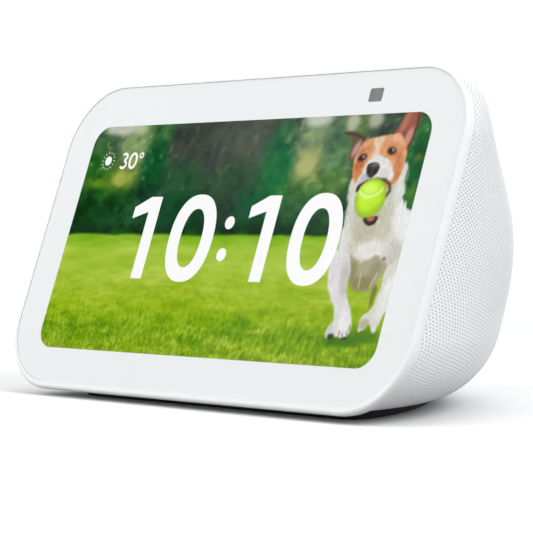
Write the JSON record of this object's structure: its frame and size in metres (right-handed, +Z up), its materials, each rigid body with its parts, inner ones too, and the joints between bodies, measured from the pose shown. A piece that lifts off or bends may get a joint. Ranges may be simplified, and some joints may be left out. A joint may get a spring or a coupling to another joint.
{
  "type": "smart display",
  "caption": "Tabletop smart display: a leaning white front panel with a small wide screen, a rounded knitted-fabric body behind it and a dark rubber foot.",
  "frame": {"origin": "middle of the overall box, on the surface the display stands on", "axes": "+X to the right seen from the front, +Y backwards, +Z up; the screen faces -Y and leans back 20 degrees"},
  "size_m": [0.1476, 0.092, 0.0826],
  "materials": {
    "frame_plastic": "white, satin moulded",
    "lens_glass": "clear, polished",
    "white_print": "white print behind the lens",
    "touch_glass": "clear film",
    "display_black": "black glass",
    "backlight_white": "white diffuser sheet",
    "foam": "black closed-cell foam",
    "tray_metal": "bright tin plate",
    "screw_steel": "zinc plated",
    "camera_black": "black",
    "camera_glass": "coated lens",
    "shutter_white": "white",
    "ledge_plastic": "white, fine matte grain",
    "button_plastic": "white, soft satin",
    "knit_fabric": "white knitted mesh",
    "shell_plastic": "light grey moulded",
    "trim_plastic": "white",
    "base_plastic": "dark grey moulded",
    "foot_rubber": "black matte silicone",
    "magnet_metal": "dark ferrite",
    "circuit_board": "green solder mask",
    "switch_metal": "bright",
    "chip_black": "black moulded",
    "seal_rubber": "black",
    "light_pipe": "frosted clear",
    "brass_standoff": "turned",
    "connector_plastic": "cream moulded",
    "thermal_grey": "grey silicone pad",
    "spreader_aluminium": "bare sheet",
    "speaker_metal": "black",
    "coil_wire": "enamelled winding",
    "cone_black": "black pressed cone",
    "spider_cloth": "resin treated cloth",
    "contact_metal": "plated",
    "lead_black": "black insulated lead",
    "flex_amber": "amber flexible circuit"
  },
  "bodies": {
    "housing": {"backlight_unit": "backlight_white", "base_magnets": "magnet_metal", "base_plate": "base_plastic", "base_screws": "screw_steel", "board_connectors": "connector_plastic", "board_screws": "screw_steel", "board_standoffs": "brass_standoff", "border_print": "white_print", "button_board": "circuit_board", "button_board_posts": "shell_plastic", "button_board_screws": "screw_steel", "button_lead": "flex_amber", "camera_lead": "flex_amber", "camera_lens": "camera_glass", "camera_module": "camera_black", "cover_lens": "lens_glass", "display_gasket": "foam", "display_lead": "flex_amber", "display_tray": "tray_metal", "fabric_cover": "knit_fabric", "front_frame": "frame_plastic", "heat_spreader": "spreader_aluminium", "lcd_panel": "display_black", "ledge_strip": "ledge_plastic", "main_board": "circuit_board", "mic_gaskets": "seal_rubber", "microphones": "chip_black", "mute_light_pipe": "light_pipe", "port_trim": "trim_plastic", "power_jack_contact": "contact_metal", "power_jack_housing": "chip_black", "power_jack_pin": "contact_metal", "power_lead": "lead_black", "processor_chips": "chip_black", "rear_shell": "shell_plastic", "rubber_foot": "foot_rubber", "shield_can": "tray_metal", "speaker_basket": "speaker_metal", "speaker_gasket": "foam", "speaker_lead": "lead_black", "speaker_magnet": "magnet_metal", "speaker_spider": "spider_cloth", "speaker_surround": "seal_rubber", "speaker_top_plate": "speaker_metal", "speaker_yoke": "speaker_metal", "tact_switches": "switch_metal", "thermal_pad": "thermal_grey", "touch_sensor": "touch_glass", "tray_screws": "screw_steel"},
    "mute_button": {"mute_button": "button_plastic"},
    "volume_down_button": {"volume_down_button": "button_plastic"},
    "volume_up_button": {"volume_up_button": "button_plastic"},
    "camera_shutter": {"shutter_blade": "shutter_white", "shutter_knob": "ledge_plastic"},
    "speaker_cone": {"speaker_cone": "cone_black", "dust_cap": "cone_black", "voice_coil": "coil_wire"}
  },
  "joints": [
    {"name": "mute_press", "type": "slide", "parent": "housing", "child": "mute_button", "axis": [0, 0, -1], "range_m": [0, 0.0004], "stiffness_N_per_m": 1500, "springref_m": -0.0003},
    {"name": "volume_down_press", "type": "slide", "parent": "housing", "child": "volume_down_button", "axis": [0, 0, -1], "range_m": [0, 0.0004], "stiffness_N_per_m": 1500, "springref_m": -0.0003},
    {"name": "volume_up_press", "type": "slide", "parent": "housing", "child": "volume_up_button", "axis": [0, 0, -1], "range_m": [0, 0.0004], "stiffness_N_per_m": 1500, "springref_m": -0.0003},
    {"name": "shutter_slide", "type": "slide", "parent": "housing", "child": "camera_shutter", "axis": [-1, 0, 0], "range_m": [0, 0.007]},
    {"name": "cone_travel", "type": "slide", "parent": "housing", "child": "speaker_cone", "axis": [0, 1, 0], "range_m": [-0.001, 0.001], "stiffness_N_per_m": 1500, "deforming": ["speaker_surround", "speaker_spider"]}
  ]
}
